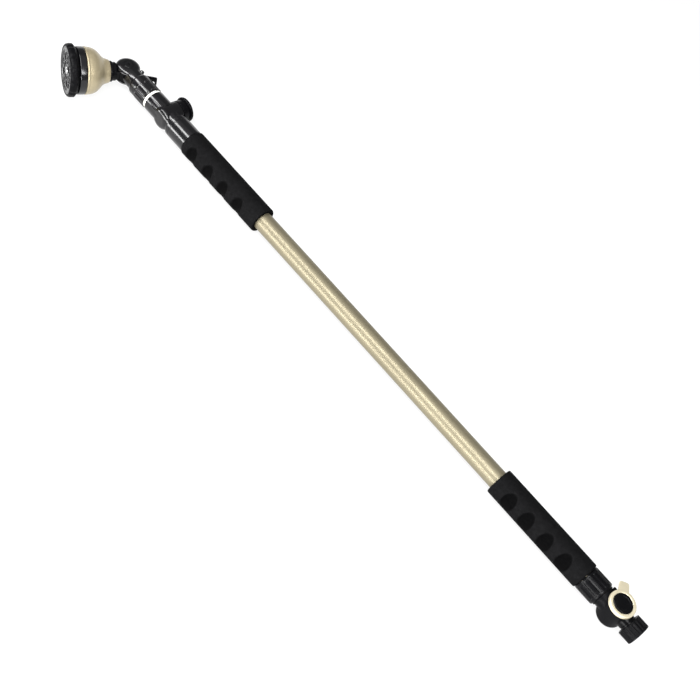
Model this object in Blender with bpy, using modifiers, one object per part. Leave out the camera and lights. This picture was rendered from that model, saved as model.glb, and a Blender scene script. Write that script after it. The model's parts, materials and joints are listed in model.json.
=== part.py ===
"""A telescoping watering wand with a pivoting multi-pattern head, lying on the ground.

The wand is drawn in its own frame, in millimetres: x runs along the tube from the hose end to the
head, +y is the finger side, to which the head bends, and +z is the side of the shut-off lever.
Each valve has a frame with z on its stem, and the head has one with x out through the spray face.
An outline is a list of (place along the axis, radius). It runs down the outer side of the piece,
and back up the bore if there is one.
"""

import math

import bmesh
import bpy
import numpy as np
from mathutils import Vector

MM = 0.001
GAP = 0.3

# Stations along the wand, from the hose end.
COUPLING_LENGTH = 16.0
TAIL_VALVE_X = 37.0
UNION_START = 58.4
UNION_END = 84.7
TUBE_START = 75.0
TUBE_END = 838.0
LOWER_GRIP = (85.0, 230.0)
UPPER_GRIP = (667.5, 814.0)
LOCK_NUT = (814.4, 850.0)
FLOW_VALVE_X = 866.0
SWIVEL_NUT = (900.1, 930.8)
PIVOT_X = 954.6
INNER_TUBE = (97.1, 856.8)

# Radii of the tubes, the grips and the turned fittings.
TUBE_R = 12.7
TUBE_BORE_R = 11.5
INNER_TUBE_R = 11.0
INNER_TUBE_BORE_R = 10.0
LOWER_GRIP_R = 18.0
UPPER_GRIP_R = 18.2
COUPLING_R = 15.0
UNION_R = 16.75
LOCK_NUT_R = 17.0
SWIVEL_R = 15.75
HUB_R = 16.0
HUB_HALF = 13.0
KNUCKLE_R = 15.2
KNUCKLE_HALF = 7.0
PIN_R = 3.0
WATERWAY_R = 5.5

# Finger scoops: where they lie on each grip, and the angle of their middle from the finger side.
LOWER_SCOOPS = (113.0, 143.0, 174.0, 203.0)
UPPER_SCOOPS = (702.0, 732.0, 762.0, 795.0)
LOWER_SCOOP_TURN = math.radians(16.0)
SCOOP_SIZE = (9.3, 15.0, 6.2)

# Shut-off and flow valves.
BALL_R = 7.6
BALL_BORE_R = 5.0
CHAMBER_R = 8.7
STEM_R = 3.0
LEVER_ANGLE = math.radians(-57.0)
LEVER_RING_R = 16.8
LEVER_CAP_R = 12.1
KNOB_R = 16.6

# Head, measured from the pivot along the head's own axis.
HEAD_BEND = math.radians(64.9)
NECK_START = 16.6
BELL_START = 24.7
BELL_END = 57.9
DIAL_START = 67.7
FACE_END = 81.0
DIAL_R = 34.4
PORT_CIRCLE_R = 17.0
PATTERNS = 8

# Release lever, pinned on the thumb side of the yoke.
LEVER_PIN = (939.5, -11.2)
LEVER_HALF_WIDTH = 3.2

# The wand lies rolled towards its finger side, on the dial, the knob and the shut-off valve.
ROLL = math.radians(10.7)

# Sides of a turned piece: the outside, the works inside, and holes and pins.
FINE = 24
COARSE = 14
TINY = 8

# Cutters start their turn at this angle, so that their corners miss the edges of what they cut.
CUTTER_SKEW = math.radians(3.7)

COLOURS = {
    "black_plastic": ((0.018, 0.018, 0.020), 0.38, 0.0),
    "gloss_plastic": ((0.012, 0.012, 0.014), 0.12, 0.0),
    "foam": ((0.022, 0.022, 0.024), 0.85, 0.0),
    "champagne": ((0.52, 0.45, 0.31), 0.32, 0.9),
    "gold_paint": ((0.60, 0.51, 0.34), 0.35, 0.8),
    "aluminium": ((0.70, 0.70, 0.70), 0.30, 1.0),
    "brass": ((0.66, 0.50, 0.22), 0.25, 1.0),
    "steel": ((0.62, 0.62, 0.62), 0.22, 1.0),
    "rubber": ((0.02, 0.02, 0.02), 0.80, 0.0),
    "white_plastic": ((0.80, 0.79, 0.74), 0.45, 0.0),
}


def collection(name):
    made = bpy.data.collections.new(name)
    bpy.context.scene.collection.children.link(made)
    return made


def material(name, colour, roughness, metallic):
    made = bpy.data.materials.new(name)
    made.use_nodes = True
    shader = made.node_tree.nodes["Principled BSDF"]
    shader.inputs["Base Color"].default_value = (*colour, 1.0)
    shader.inputs["Roughness"].default_value = roughness
    shader.inputs["Metallic"].default_value = metallic
    made.diffuse_color = (*colour, 1.0)
    return made


for old in list(bpy.data.objects):
    bpy.data.objects.remove(old, do_unlink=True)
PARTS = collection("watering_wand")
CUTTERS = collection("cutters")


def empty(name, parent=None, at=(0, 0, 0), turn=(0, 0, 0)):
    made = bpy.data.objects.new(name, None)
    PARTS.objects.link(made)
    made.parent = parent
    made.location = Vector(at) * MM
    made.rotation_euler = turn
    return made


def place(thing, parent, at, turn, look):
    """Puts a piece in its frame. A piece with no look is a cutter."""
    thing.parent = parent
    thing.location = Vector(at) * MM
    thing.rotation_euler = turn
    if look is None:
        CUTTERS.objects.link(thing)
        thing.hide_render = True
        thing.display_type = "WIRE"
        return thing
    PARTS.objects.link(thing)
    thing.data.materials.clear()
    thing.data.materials.append(material(thing.name, *COLOURS[look]))
    return thing


ALONG_X = (0, math.pi / 2, 0)
ALONG_Z = (0, 0, 0)


def turned(name, outline, look, parent, along=ALONG_X, at=(0, 0, 0), steps=FINE):
    """Spins an outline about its axis. An outline that starts and ends on the axis makes a solid piece."""
    mesh = bpy.data.meshes.new(name)
    solid = outline[0][1] == 0 and outline[-1][1] == 0
    edges = [(i, i + 1) for i in range(len(outline) - 1)]
    if not solid:
        edges.append((len(outline) - 1, 0))
    skew = CUTTER_SKEW if look is None else 0.0
    out = Vector((math.cos(skew), math.sin(skew), 0)) * MM
    mesh.from_pydata([(r * out.x, r * out.y, p * MM) for p, r in outline], edges, [])
    made = place(bpy.data.objects.new(name, mesh), parent, at, along, look)
    spin = made.modifiers.new("spin", "SCREW")
    spin.axis = "Z"
    spin.angle = 2 * math.pi
    spin.steps = spin.render_steps = steps
    spin.use_merge_vertices = True
    spin.merge_threshold = 1e-5
    spin.use_smooth_shade = True
    return made


def rod(low, high, radius):
    return [(high, 0), (high, radius), (low, radius), (low, 0)]


def ring(low, high, outer, bore):
    return [(high, outer), (low, outer), (low, bore), (high, bore)]


def o_ring(name, parent, place_on_axis, middle_r, cord_r, along=ALONG_X, at=(0, 0, 0)):
    sides = 5
    turns = [2 * math.pi * i / sides for i in range(sides)]
    outline = [(place_on_axis + cord_r * math.cos(a), middle_r + cord_r * math.sin(a)) for a in turns]
    return turned(name, outline, "rubber", parent, along, at, COARSE)


def mesh_of(curve_object):
    """Replaces a curve by its mesh, with the loose caps welded."""
    bpy.context.view_layer.update()
    graph = bpy.context.evaluated_depsgraph_get()
    mesh = bpy.data.meshes.new_from_object(curve_object.evaluated_get(graph))
    form = bmesh.new()
    form.from_mesh(mesh)
    bmesh.ops.remove_doubles(form, verts=form.verts, dist=1e-6)
    form.to_mesh(mesh)
    form.free()
    name = curve_object.name
    bpy.data.objects.remove(curve_object, do_unlink=True)
    mesh.name = name
    return bpy.data.objects.new(name, mesh)


def flat(name, outline, low, high, look, parent, at=(0, 0, 0), turn=ALONG_Z):
    """Extrudes a closed outline of (x, y) points from low to high along z."""
    curve = bpy.data.curves.new(name, "CURVE")
    curve.dimensions = "2D"
    curve.fill_mode = "BOTH"
    curve.extrude = (high - low) / 2 * MM
    spline = curve.splines.new("POLY")
    spline.points.add(len(outline) - 1)
    for point, (x, y) in zip(spline.points, outline):
        point.co = (x * MM, y * MM, 0, 1)
    spline.use_cyclic_u = True
    drawn = bpy.data.objects.new(name, curve)
    PARTS.objects.link(drawn)
    made = mesh_of(drawn)
    for vertex in made.data.vertices:
        vertex.co.z += (low + high) / 2 * MM
    return place(made, parent, at, turn, look)


def box(name, low, high, look, parent, turn=ALONG_Z):
    mesh = bpy.data.meshes.new(name)
    form = bmesh.new()
    bmesh.ops.create_cube(form, size=1.0)
    size = [(b - a) * MM for a, b in zip(low, high)]
    middle = [(a + b) / 2 * MM for a, b in zip(low, high)]
    bmesh.ops.scale(form, vec=size, verts=form.verts)
    bmesh.ops.translate(form, vec=middle, verts=form.verts)
    form.to_mesh(mesh)
    form.free()
    return place(bpy.data.objects.new(name, mesh), parent, (0, 0, 0), turn, look)


def wire(name, points, radius, look, parent):
    curve = bpy.data.curves.new(name, "CURVE")
    curve.dimensions = "3D"
    curve.bevel_depth = radius * MM
    curve.bevel_resolution = 1
    curve.use_fill_caps = True
    spline = curve.splines.new("POLY")
    spline.points.add(len(points) - 1)
    for point, co in zip(spline.points, points):
        point.co = (*[c * MM for c in co], 1)
    drawn = bpy.data.objects.new(name, curve)
    PARTS.objects.link(drawn)
    return place(mesh_of(drawn), parent, (0, 0, 0), ALONG_Z, look)


def combine(target, operation, others):
    for other in others:
        step = target.modifiers.new(operation.lower(), "BOOLEAN")
        step.operation = operation
        step.solver = "EXACT"
        step.object = other
    return target


def join(target, *others):
    return combine(target, "UNION", others)


def cut(target, *others):
    return combine(target, "DIFFERENCE", others)


def ribbed(radius, depth, ribs):
    """The outline of a gripping nut: square ribs with sloping sides around a circle."""
    points = []
    for i in range(ribs):
        for share, r in ((0.0, radius), (0.42, radius), (0.55, radius - depth), (0.87, radius - depth)):
            angle = 2 * math.pi * (i + share) / ribs
            points.append((r * math.cos(angle), r * math.sin(angle)))
    return points


def ribbed_nut(name, look, parent, span, radius, depth, ribs, bore):
    """A nut with ribs along x. Its bore is a solid outline that is cut out."""
    low, high = span
    nut = flat(name, ribbed(radius, depth, ribs), low, high, look, parent, turn=ALONG_X)
    return cut(nut, turned(name + "_bore", bore, None, parent))


# Shapes that both valves share.


def ball(name, parent):
    bore_angle = math.asin(BALL_BORE_R / BALL_R)
    rings = 6
    turns = [bore_angle + (math.pi - 2 * bore_angle) * i / rings for i in range(rings + 1)]
    outline = [(BALL_R * math.cos(a), BALL_R * math.sin(a)) for a in turns]
    made = turned(name, outline, "steel", parent, steps=COARSE)
    slot_half = 1.3
    slot = box(name + "_slot", (-10, -slot_half, 5.7), (10, slot_half, 10), None, parent)
    return cut(made, slot)


def seat(name, parent, side):
    """A seat ring, coned to the ball. Side is 1 towards the head and -1 towards the hose."""
    outline = [(3.9, 8.4), (3.9, 6.9), (5.6, 5.6), (7.4, 5.6), (7.4, 8.4)]
    outline = [(side * p, r) for p, r in outline]
    if side < 0:
        outline.reverse()
    return turned(name, outline, "white_plastic", parent, steps=COARSE)


def stem(name, parent, top, groove):
    """A stem with a tang in the ball's slot, an O-ring groove and a threaded hole for its screw."""
    outline = [
        (top - 5.5, 0),
        (top - 5.5, 1.7),
        (top, 1.7),
        (top, STEM_R),
        (groove + 0.8, STEM_R),
        (groove + 0.8, 2.3),
        (groove - 0.8, 2.3),
        (groove - 0.8, STEM_R),
        (BALL_R + GAP, STEM_R),
        (BALL_R + GAP, 0),
    ]
    made = turned(name, outline, "brass", parent, ALONG_Z, steps=COARSE)
    return join(made, box(name + "_tang", (-2.4, -1.0, 6.1), (2.4, 1.0, 8.4), None, parent))


def gland(name, parent, top):
    return turned(name, ring(top - 2.4, top + 0.2, 6.0, 3.4), "brass", parent, ALONG_Z, steps=COARSE)


def valve_bores(name, parent, top, chamber_start):
    """The chamber, the waterway and the stem's hole, as cutters."""
    chamber = [(7.6, 0), (7.6, CHAMBER_R), (chamber_start, CHAMBER_R), (chamber_start, 0)]
    stem_hole = [(top + 2, 0), (top + 2, 6.3), (top - 2.7, 6.3), (top - 2.7, 3.3), (4, 3.3), (4, 0)]
    return [
        turned(name + "_chamber", chamber, None, parent),
        turned(name + "_waterway", rod(-20, 50, WATERWAY_R), None, parent),
        turned(name + "_stem_hole", stem_hole, None, parent, ALONG_Z),
    ]


def screw(name, parent, under_head, head_r, head_height, length, along=ALONG_Z):
    outline = [
        (under_head + head_height, 0),
        (under_head + head_height, head_r),
        (under_head, head_r),
        (under_head, 1.4),
        (under_head - length, 1.4),
        (under_head - length, 0),
    ]
    return turned(name, outline, "steel", parent, along, steps=COARSE)


# Hose end.


def hose_coupling(wand):
    bore = [
        (COUPLING_LENGTH + 1, 0),
        (COUPLING_LENGTH + 1, 10.9),
        (12.4, 10.9),
        (12.4, 13.2),
        (-1, 13.2),
        (-1, 0),
    ]
    ribbed_nut(
        "hose_coupling", "black_plastic", wand, (0, COUPLING_LENGTH), COUPLING_R, 0.8, 16, bore
    )
    turned("hose_washer", ring(6.6, 9.2, 12.6, 6.5), "rubber", wand, steps=COARSE)


def hose_tailpiece(wand):
    outline = [
        (29.1, 8.4),
        (27.0, 8.4),
        (27.0, 10.5),
        (12.1, 10.5),
        (12.1, 12.8),
        (9.6, 12.8),
        (9.6, WATERWAY_R),
        (29.1, WATERWAY_R),
    ]
    turned("hose_tailpiece", outline, "black_plastic", wand)


def shut_off_valve(wand):
    frame = empty("shut_off_valve", wand, (TAIL_VALVE_X, 0, 0))
    top = 13.0
    barrel = [
        (top, 0),
        (top, 15.2),
        (top - 0.8, 16.0),
        (-14.5, 16.6),
        (-18.4, 14.9),
        (-19.8, 12.4),
        (-19.8, 0),
    ]
    body = turned("shut_off_valve_body", barrel, "black_plastic", frame, ALONG_Z)
    spigot = [
        (28.0, 0),
        (28.0, 12.2),
        (21.1, 12.2),
        (21.1, 14.5),
        (19.3, 14.5),
        (19.3, 13.4),
        (6.0, 13.4),
        (6.0, 0),
    ]
    join(body, turned("shut_off_spigot", spigot, None, frame))
    join(body, box("stop_lug", (13.0, -11.0, 7.5), (18.6, -7.0, 13.2), None, frame))
    socket = rod(-25, -9.7, 10.8)
    cut(body, turned("tailpiece_socket", socket, None, frame))
    cut(body, *valve_bores("shut_off", frame, top, -10.0))
    gland("shut_off_gland", frame, top)
    seat("shut_off_seat_inlet", frame, -1)
    seat("shut_off_seat_outlet", frame, 1)

    turning = empty("shut_off_turning", frame, turn=(0, 0, math.pi / 2))
    ball("shut_off_ball", turning)
    stem("shut_off_stem", turning, 14.8, top - 1.1)
    o_ring("shut_off_stem_o_ring", turning, top - 1.1, 2.85, 0.4, ALONG_Z)
    lever(turning)


def lever(turning):
    """The ring lever: a dished disc with a raised ring and a thumb tab, a cap in the dish and a screw."""
    base, floor, rim = 13.9, 15.0, 18.6
    tab_low, tab_high = COUPLING_R + GAP, 16.8
    ring_bore = LEVER_CAP_R + GAP
    disc = [
        (rim, ring_bore),
        (rim, LEVER_RING_R - 0.6),
        (rim - 0.6, LEVER_RING_R),
        (base + 0.6, LEVER_RING_R),
        (base, LEVER_RING_R - 0.6),
        (base, STEM_R + GAP),
        (floor, STEM_R + GAP),
        (floor, ring_bore),
    ]
    made = turned("lever_ring", disc, "gold_paint", turning, ALONG_Z)
    tab_half, tab_tip = 6.2, 27.7
    corner = 2.5
    tab = [(15.0, -tab_half), (tab_tip - corner, -tab_half)]
    tab += [
        (tab_tip - corner * (1 - math.sin(a)), -tab_half + corner * (1 - math.cos(a)))
        for a in (math.pi / 6, math.pi / 3, math.pi / 2)
    ]
    tab += [(x, -y) for x, y in reversed(tab)]
    angle = (0, 0, LEVER_ANGLE - math.pi / 2)
    join(made, flat("lever_tab", tab, tab_low, tab_high, None, turning, turn=angle))

    cap = [
        (rim + 0.7, 0),
        (rim + 0.7, LEVER_CAP_R - 0.8),
        (rim + 0.1, LEVER_CAP_R),
        (floor + GAP, LEVER_CAP_R),
        (floor + GAP, 4.7),
        (rim - 0.2, 4.7),
        (rim - 0.2, 0),
    ]
    turned("lever_cap", cap, "black_plastic", turning, ALONG_Z)
    screw("lever_screw", turning, floor + GAP, 4.2, 1.1, 5.0)


def union(wand):
    bore = [
        (UNION_END + 1, 0),
        (UNION_END + 1, TUBE_R + GAP),
        (74.2, TUBE_R + GAP),
        (74.2, 10.8),
        (70.8, 10.8),
        (70.8, 12.5),
        (UNION_START - 1, 12.5),
        (UNION_START - 1, 0),
    ]
    ribbed_nut("union_nut", "black_plastic", wand, (UNION_START, UNION_END), UNION_R, 0.9, 16, bore)
    turned("union_washer", ring(65.3, 66.7, 12.0, 7.5), "rubber", wand, steps=COARSE)
    adapter = [
        (84.8, TUBE_BORE_R - GAP),
        (74.6, TUBE_BORE_R - GAP),
        (74.6, 10.5),
        (70.5, 10.5),
        (70.5, 12.2),
        (67.0, 12.2),
        (67.0, 7.5),
        (84.8, 7.5),
    ]
    turned("tail_adapter", adapter, "brass", wand)


# Tubes and grips.


def grip(name, parent, span, radius, scoops, turn):
    low, high = span
    edge = 2.5
    outline = [
        (high, radius - edge),
        (high - 0.7, radius - 0.7),
        (high - edge, radius),
        (low + edge, radius),
        (low + 0.7, radius - 0.7),
        (low, radius - edge),
        (low, TUBE_R + GAP),
        (high, TUBE_R + GAP),
    ]
    made = turned(name, outline, "foam", parent)
    half_length, half_width, depth = SCOOP_SIZE
    for x in scoops:
        mesh = bpy.data.meshes.new(name + "_scoop")
        form = bmesh.new()
        bmesh.ops.create_uvsphere(form, u_segments=10, v_segments=6, radius=1.0)
        bmesh.ops.scale(form, vec=Vector((half_length, depth, half_width)) * MM, verts=form.verts)
        bmesh.ops.translate(form, vec=(0, (radius + 2.0) * MM, 0), verts=form.verts)
        form.to_mesh(mesh)
        form.free()
        scoop = bpy.data.objects.new(mesh.name, mesh)
        cut(made, place(scoop, parent, (x, 0, 0), (turn, 0, 0), None))
    return made


def tubes(wand, sliding):
    tube = ring(TUBE_START, TUBE_END, TUBE_R, TUBE_BORE_R)
    turned("outer_tube", tube, "champagne", wand)
    grip("lower_grip", wand, LOWER_GRIP, LOWER_GRIP_R, LOWER_SCOOPS, LOWER_SCOOP_TURN)
    grip("upper_grip", wand, UPPER_GRIP, UPPER_GRIP_R, UPPER_SCOOPS, 0.0)

    inner = ring(*INNER_TUBE, INNER_TUBE_R, INNER_TUBE_BORE_R)
    turned("inner_tube", inner, "aluminium", sliding)
    skirt, groove = TUBE_BORE_R - GAP, 10.0
    piston = [
        (105.0, INNER_TUBE_BORE_R - GAP),
        (96.8, INNER_TUBE_BORE_R - GAP),
        (96.8, skirt),
        (95.0, skirt),
        (95.0, groove),
        (93.0, groove),
        (93.0, skirt),
        (90.0, skirt),
        (90.0, groove),
        (88.0, groove),
        (88.0, skirt),
        (85.3, skirt),
        (85.3, 7.5),
        (105.0, 7.5),
    ]
    turned("piston", piston, "brass", sliding, steps=COARSE)
    o_ring("piston_o_ring_rear", sliding, 89.0, 10.7, 0.55)
    o_ring("piston_o_ring_front", sliding, 94.0, 10.7, 0.55)


def twist_lock(wand, lock):
    turned("lock_sleeve", ring(822.3, TUBE_END, 14.4, TUBE_R + GAP), "brass", wand)
    collet = [(846.6, 12.6), (TUBE_END + 0.4, 13.9), (TUBE_END + 0.4, 11.3), (846.6, 11.3)]
    made = turned("lock_collet", collet, "white_plastic", wand)
    cut(made, box("collet_slit", (837, -0.9, 0), (848, 0.9, 20), None, wand))
    low, high = LOCK_NUT
    nut = [
        (high, LOCK_NUT_R - 0.8),
        (high - 0.8, LOCK_NUT_R),
        (low + 0.8, LOCK_NUT_R),
        (low, LOCK_NUT_R - 0.8),
        (low, 14.8),
        (TUBE_END + 0.7, 14.8),
        (TUBE_END + 0.7, 14.2),
        (846.9, 12.9),
        (846.9, INNER_TUBE_R + 0.4),
        (high, INNER_TUBE_R + 0.4),
    ]
    turned("lock_nut", nut, "gloss_plastic", lock)


# Flow valve and swivel.


def flow_valve(sliding):
    frame = empty("flow_valve", sliding, (FLOW_VALVE_X, 0, 0), (math.pi / 2, 0, 0))
    top = 16.0
    barrel = [
        (top, 0),
        (top, 14.4),
        (top - 0.7, 15.1),
        (6.0, 15.6),
        (-9.5, 15.6),
        (-13.2, 13.2),
        (-15.0, 8.0),
        (-15.0, 0),
    ]
    body = turned("flow_valve_body", barrel, "gloss_plastic", frame, ALONG_Z)
    outlet = [
        (45.5, 0),
        (45.5, 12.6),
        (29.9, 12.6),
        (29.9, 15.3),
        (5.0, 15.3),
        (5.0, 13.8),
        (-15.2, 13.8),
        (-15.2, 0),
    ]
    join(body, turned("flow_outlet", outlet, None, frame))
    cut(body, turned("flow_socket", rod(-20, -8.9, INNER_TUBE_R + GAP), None, frame))
    cut(body, *valve_bores("flow", frame, top, -9.2))
    gland("flow_gland", frame, top)
    seat("flow_seat_inlet", frame, -1)
    seat("flow_seat_outlet", frame, 1)

    turning = empty("flow_turning", frame)
    ball("flow_ball", turning)
    stem("flow_stem", turning, 24.5, top - 1.1)
    o_ring("flow_stem_o_ring", turning, top - 1.1, 2.85, 0.4, ALONG_Z)
    knob = [
        (31.0, 9.7),
        (31.0, 14.8),
        (30.2, 16.4),
        (29.0, KNOB_R),
        (27.6, KNOB_R),
        (26.9, KNOB_R - 0.7),
        (26.6, 13.6),
        (25.4, 14.2),
        (17.0, 15.0),
        (17.0, STEM_R + GAP),
        (24.8, STEM_R + GAP),
        (24.8, 1.7),
        (27.0, 1.7),
        (27.0, 9.7),
    ]
    turned("flow_knob", knob, "black_plastic", turning, ALONG_Z)
    screw("flow_knob_screw", turning, 27.3, 3.6, 1.1, 7.5)
    turned("flow_knob_cap", rod(28.7, 30.8, 9.4), "gloss_plastic", turning, ALONG_Z, steps=COARSE)


def swivel(sliding):
    turned("swivel_washer", ring(896.2, 899.8, 14.3, 12.9), "white_plastic", sliding)
    low, high = SWIVEL_NUT
    bore = [
        (high + 1, 0),
        (high + 1, 10.7),
        (915.9, 10.7),
        (915.9, 12.9),
        (low - 1, 12.9),
        (low - 1, 0),
    ]
    ribbed_nut("swivel_nut", "gloss_plastic", sliding, SWIVEL_NUT, SWIVEL_R, 0.8, 16, bore)


# Pivot.


def pivot_yoke(sliding):
    shank = [
        (PIVOT_X, 0),
        (PIVOT_X, 13.0),
        (931.1, 13.0),
        (931.1, 10.4),
        (915.6, 10.4),
        (915.6, 12.5),
        (912.0, 12.5),
        (912.0, 0),
    ]
    yoke = turned("pivot_yoke", shank, "gloss_plastic", sliding)
    hub = (PIVOT_X, 0, 0)
    inner = KNUCKLE_HALF + GAP
    ear = [(HUB_HALF, 0), (HUB_HALF, HUB_R - 2.2), (HUB_HALF - 0.7, HUB_R - 0.7)]
    ear += [(HUB_HALF - 2.2, HUB_R), (inner, HUB_R), (inner, 0)]
    mirrored_ear = [(-p, r) for p, r in reversed(ear)]
    join(yoke, turned("upper_ear", ear, None, sliding, ALONG_Z, hub))
    join(yoke, turned("lower_ear", mirrored_ear, None, sliding, ALONG_Z, hub))
    pin_x, pin_y = LEVER_PIN
    lug = [(pin_x - 3, -9.0), (pin_x - 3, pin_y - 1.6), (pin_x - 1.6, pin_y - 3)]
    lug += [(pin_x + 1.6, pin_y - 3), (pin_x + 3, pin_y - 1.6), (pin_x + 3, -9.0)]
    for name, low, high in (("upper_lug", 5.0, 8.5), ("lower_lug", -8.5, -5.0)):
        join(yoke, flat(name, lug, low, high, None, sliding))

    slot_half = inner - 0.06
    slot = rod(-slot_half, slot_half, KNUCKLE_R + 0.5)
    cut(yoke, turned("knuckle_slot", slot, None, sliding, ALONG_Z, hub))
    cut(yoke, turned("yoke_waterway", rod(900, 945, 5.0), None, sliding))
    room = LEVER_HALF_WIDTH + 2.9
    cut(yoke, box("lever_slot", (933.5, -20, -room), (947.8, -8.0, room), None, sliding))
    lever_hole = rod(-10, 10, 1.5)
    cut(yoke, turned("lever_pin_hole", lever_hole, None, sliding, ALONG_Z, (*LEVER_PIN, 0), TINY))
    pin_hole = [(14, 0), (14, 6.3), (11.5, 6.3), (11.5, PIN_R + GAP)]
    pin_hole += [(-p, r) for p, r in reversed(pin_hole)]
    cut(yoke, turned("pivot_hole", pin_hole, None, sliding, ALONG_Z, hub))

    bolt = [(13.1, 0), (13.1, 6.0), (11.8, 6.0), (11.8, PIN_R), (-13.1, PIN_R), (-13.1, 0)]
    turned("pivot_bolt", bolt, "gloss_plastic", sliding, ALONG_Z, hub, COARSE)
    nut = ring(-13.0, -11.8, 6.0, PIN_R + GAP)
    turned("pivot_nut", nut, "gloss_plastic", sliding, ALONG_Z, hub, COARSE)


def release_lever(sliding, lever_frame):
    """A bent strip lever with its eye on a pin and a nose towards the ratchet teeth, and its spring."""
    eye_x, eye_y = LEVER_PIN
    eye_r = 2.6
    eye = [
        (eye_r * math.cos(a), eye_r * math.sin(a))
        for a in (math.radians(50 - 30 * i) for i in range(9))
    ]
    strip = [(-3.2, -1.4), (-12.9, -13.4), (-19.9, -8.1), (-21.4, -9.8), (-13.7, -16.6), (-11.9, -16.2)]
    outline = [(-1.2, 2.3), *strip, (-1.2, -2.4), *reversed(eye[:5])]
    made = flat(
        "release_lever",
        outline,
        -LEVER_HALF_WIDTH,
        LEVER_HALF_WIDTH,
        "black_plastic",
        lever_frame,
    )
    nose = [(0.5, -1.2), (2.9, 1.3), (2.3, 2.2), (0.0, 1.6)]
    join(made, flat("lever_nose", nose, -2.5, 2.5, None, lever_frame))
    cut(made, turned("lever_eye", rod(-10, 10, 1.5), None, lever_frame, ALONG_Z, steps=TINY))

    turned("lever_pin", rod(-9.2, 9.2, 1.2), "steel", sliding, ALONG_Z, (eye_x, eye_y, 0), TINY)
    turns, points = 3, 8
    low, pitch, coil_r, wire_r = 3.6, 0.7, 2.05, 0.28
    coil = [
        (
            eye_x + coil_r * math.cos(2 * math.pi * i / points),
            eye_y + coil_r * math.sin(2 * math.pi * i / points),
            low + pitch * i / points,
        )
        for i in range(turns * points + 1)
    ]
    wire("lever_spring", coil, wire_r, "steel", sliding)


# Head.


def knuckle(head):
    """The head's neck and toothed pivot disc, with the water gallery around the disc."""
    teeth = 16
    rim = []
    for i in range(teeth):
        for share, r in ((0.0, KNUCKLE_R), (0.7, KNUCKLE_R - 1.2)):
            angle = 2 * math.pi * (i + share) / teeth
            rim.append((r * math.cos(angle), r * math.sin(angle)))
    made = flat("head_knuckle", rim, -KNUCKLE_HALF, KNUCKLE_HALF, "black_plastic", head)
    block_half = KNUCKLE_HALF - 0.2
    block = (6.0, -8.6, -block_half), (NECK_START + 1.0, 8.6, block_half)
    join(made, box("neck_block", *block, None, head))
    neck = [
        (37.0, 0),
        (37.0, 10.2),
        (BELL_START - GAP, 10.2),
        (BELL_START - GAP, 13.6),
        (21.6, 13.6),
        (21.2, 12.2),
        (NECK_START, 12.2),
        (NECK_START, 0),
    ]
    join(made, turned("neck_tube", neck, None, head))
    gallery = ring(-2.4, 2.4, KNUCKLE_R + 0.4, 11.5)
    cut(made, turned("knuckle_pin_hole", rod(-9, 9, PIN_R + GAP), None, head, ALONG_Z, steps=COARSE))
    cut(made, turned("neck_bore", rod(-13, 40, 4.5), None, head, steps=COARSE))
    cut(made, turned("water_gallery", gallery, None, head, ALONG_Z, steps=COARSE))
    seal_groove = ring(5.7, 8.0, 9.3, 7.1)
    cut(made, turned("upper_seal_groove", seal_groove, None, head, ALONG_Z, steps=COARSE))
    lower_groove = ring(-8.0, -5.7, 9.3, 7.1)
    cut(made, turned("lower_seal_groove", lower_groove, None, head, ALONG_Z, steps=COARSE))
    o_ring("knuckle_seal_upper", head, 6.5, 8.2, 0.6, ALONG_Z)
    o_ring("knuckle_seal_lower", head, -6.5, 8.2, 0.6, ALONG_Z)


def bell(head):
    outline = [
        (BELL_END, 31.0),
        (BELL_END - 2.4, 31.0),
        (BELL_END - 3.0, 30.5),
        (52.1, 30.4),
        (48.0, 29.6),
        (44.8, 28.3),
        (41.8, 26.4),
        (37.7, 22.4),
        (34.5, 18.8),
        (31.6, 16.8),
        (27.3, 15.6),
        (BELL_START, 14.6),
        (BELL_START, 10.5),
        (36.6, 10.5),
        (37.2, 16.5),
        (40.8, 21.8),
        (46.0, 26.0),
        (52.5, 27.3),
        (BELL_END, 27.3),
    ]
    turned("bell_housing", outline, "gold_paint", head)


def distributor(head):
    """The glossy ring behind the dial: a cup whose plate lets the water out at one port."""
    plate_top = DIAL_START - GAP
    outline = [
        (plate_top, 2.0),
        (plate_top, 30.3),
        (plate_top - 0.5, 30.8),
        (BELL_END + GAP, 30.8),
        (BELL_END + GAP, 26.2),
        (54.0, 26.2),
        (54.0, 24.4),
        (61.5, 24.4),
        (61.5, 6.5),
        (56.0, 6.5),
        (56.0, 2.0),
    ]
    made = turned("distributor", outline, "gloss_plastic", head)
    port = (0, PORT_CIRCLE_R, 0)
    cut(made, turned("outlet_port", rod(60, 70, 3.0), None, head, at=port, steps=TINY))
    cut(made, turned("seal_recess", rod(66.0, 70, 5.4), None, head, at=port, steps=COARSE))
    detent = (0, 0, 24.0)
    cut(made, turned("detent_pocket", rod(62.8, 70, 2.2), None, head, at=detent, steps=TINY))
    o_ring("distributor_seal", head, 66.7, 4.3, 0.6, at=port)

    ball_r, ball_place = 1.9, 66.8
    arc = [math.pi * i / 6 for i in range(7)]
    outline = [(ball_place + ball_r * math.cos(a), ball_r * math.sin(a)) for a in arc]
    outline[0] = (ball_place + ball_r, 0)
    outline[-1] = (ball_place - ball_r, 0)
    turned("detent_ball", outline, "steel", head, at=detent, steps=TINY)
    turns, points, coil_r, wire_r = 2, 8, 1.5, 0.2
    start, pitch = 63.2, 0.55
    coil = [
        (
            start + pitch * i / points,
            coil_r * math.cos(2 * math.pi * i / points),
            detent[2] + coil_r * math.sin(2 * math.pi * i / points),
        )
        for i in range(turns * points + 1)
    ]
    wire("detent_spring", coil, wire_r, "steel", head)


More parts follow.
